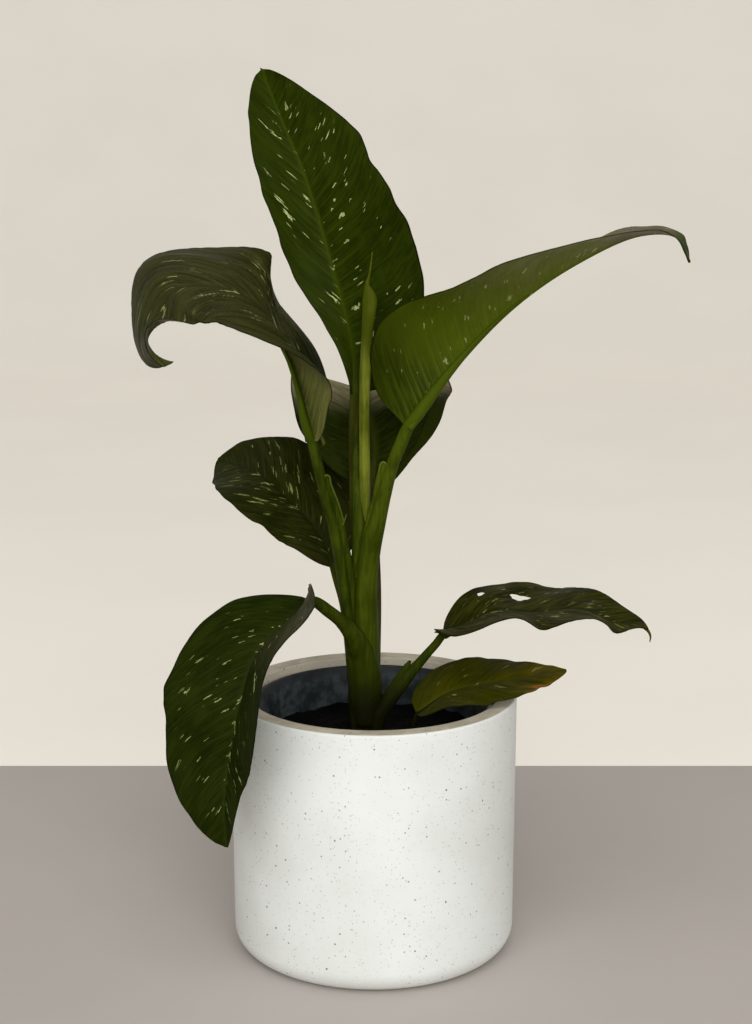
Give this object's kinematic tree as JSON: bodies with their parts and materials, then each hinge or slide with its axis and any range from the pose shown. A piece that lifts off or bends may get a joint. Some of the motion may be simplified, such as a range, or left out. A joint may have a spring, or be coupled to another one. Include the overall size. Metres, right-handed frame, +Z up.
{
  "type": "potted dieffenbachia",
  "caption": "Potted dieffenbachia: broad arching leaves on sheathed stalks, in a nursery pot inside a speckled round cover pot, for a floor, shelf or table.",
  "frame": {"origin": "centre of the cover pot's base, on the surface that it stands on", "axes": "+Z up along the pot's axis, -Y towards the viewer of the picture, +X to that viewer's right"},
  "size_m": [0.3572, 0.2912, 0.6094],
  "materials": {
    "cover_pot": "matte",
    "nursery_pot": "satin",
    "soil": "matte",
    "stalk": "satin",
    "leaf": "satin",
    "young_leaf": "satin",
    "yellowing_leaf": "satin"
  },
  "bodies": {
    "root": {"cover_pot": "cover_pot", "nursery_pot": "nursery_pot", "potting_soil": "soil", "main_stem": "stalk", "new_leaf": "young_leaf", "stalk_top": "stalk", "stalk_right": "stalk", "stalk_left": "stalk", "stalk_back": "stalk", "stalk_mid_left": "stalk", "stalk_drooping": "stalk", "stalk_low_right": "stalk", "stalk_yellowing": "stalk", "leaf_top": "leaf", "leaf_right": "young_leaf", "leaf_left": "leaf", "leaf_back": "leaf", "leaf_mid_left": "leaf", "leaf_drooping": "leaf", "leaf_low_right": "leaf", "leaf_yellowing": "yellowing_leaf"}
  },
  "joints": []
}
